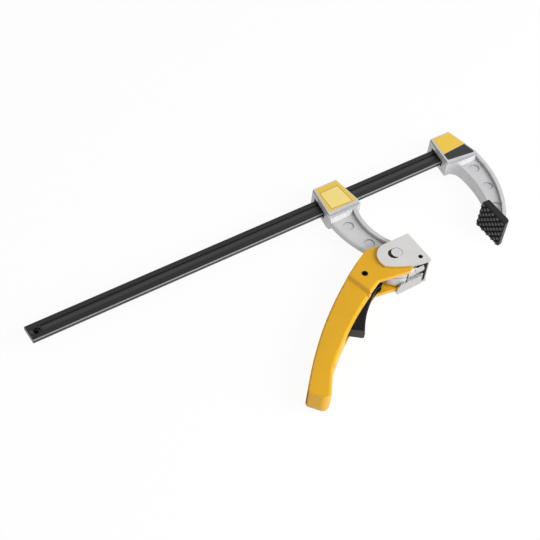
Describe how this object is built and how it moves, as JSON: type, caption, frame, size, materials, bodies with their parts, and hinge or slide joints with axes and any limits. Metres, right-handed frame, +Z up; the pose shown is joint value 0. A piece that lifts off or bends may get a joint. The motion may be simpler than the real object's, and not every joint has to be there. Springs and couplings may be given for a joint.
{
  "type": "quick release bar clamp",
  "caption": "Quick release bar clamp: grooved flat bar, fixed jaw with a knobbed pad, sliding jaw with squeeze lever, release trigger and pressing head.",
  "frame": {"origin": "middle of the base of the clamp as it lies on its side with the jaws at the stated opening, on the surface it lies on", "axes": "+X along the bar from its free end to the fixed jaw, +Y across the bar away from the pads, +Z up, towards the side with the yellow plates"},
  "size_m": [0.5412, 0.2292, 0.0338],
  "materials": {
    "bar_black": "satin black enamel",
    "cast_silver": "silver grey powder coat on a casting",
    "lever_yellow": "amber yellow powder coat",
    "plate_steel": "zinc plated steel, satin",
    "bright_steel": "bright plated steel",
    "tool_steel": "hardened steel, dull",
    "black_steel": "black oxide",
    "black_plastic": "fine moulded grain",
    "pad_rubber": "knobbed moulded rubber",
    "label_yellow": "plain film, satin gloss"
  },
  "bodies": {
    "rail": {"bar": "bar_black", "bar_stop_pin": "tool_steel", "fixed_jaw": "cast_silver", "fixed_jaw_pins": "tool_steel", "fixed_mouth_liner": "black_plastic", "fixed_label": "label_yellow", "fixed_pad": "pad_rubber"},
    "sliding_arm": {"sliding_jaw": "cast_silver", "sliding_label": "label_yellow", "front_guide": "black_plastic", "rear_guide": "black_plastic", "grip_pins": "tool_steel", "main_pin": "bright_steel", "pivot_washers": "bright_steel", "ratchet_sector": "tool_steel", "ratchet_rivets": "tool_steel", "spring_anchor_pin": "tool_steel"},
    "lever": {"lever": "lever_yellow", "trigger_pin": "black_steel", "trigger_spring": "bright_steel"},
    "trigger": {"trigger": "black_plastic", "pawl": "tool_steel", "pawl_rivet": "tool_steel"},
    "pressing_head": {"pressing_bracket": "plate_steel", "pressure_block": "plate_steel", "head_shoe": "black_plastic", "head_pin": "black_steel", "head_spring_pin": "tool_steel", "return_spring": "bright_steel"}
  },
  "joints": [
    {"name": "jaw_slide", "type": "slide", "parent": "rail", "child": "sliding_arm", "axis": [1, 0, 0], "range_m": [-0.33, 0.0919]},
    {"name": "lever_pivot", "type": "hinge", "parent": "sliding_arm", "child": "lever", "pos_m": [0.09635, -0.00588, 0.0169], "axis": [0, 0, 1], "range_deg": [-38, 0]},
    {"name": "head_slide", "type": "slide", "parent": "sliding_arm", "child": "pressing_head", "axis": [1, 0, 0], "range_m": [0, 0.004]},
    {"name": "trigger_pivot", "type": "hinge", "parent": "lever", "child": "trigger", "pos_m": [0.05215, -0.01078, 0.0169], "axis": [0, 0, 1], "range_deg": [-8, 0], "stiffness_Nm_per_rad": 0.4, "springref_deg": 14.32}
  ],
  "couplings": [
    {"joint": "head_slide", "follows": "lever_pivot", "m_per_rad": -0.00603}
  ]
}
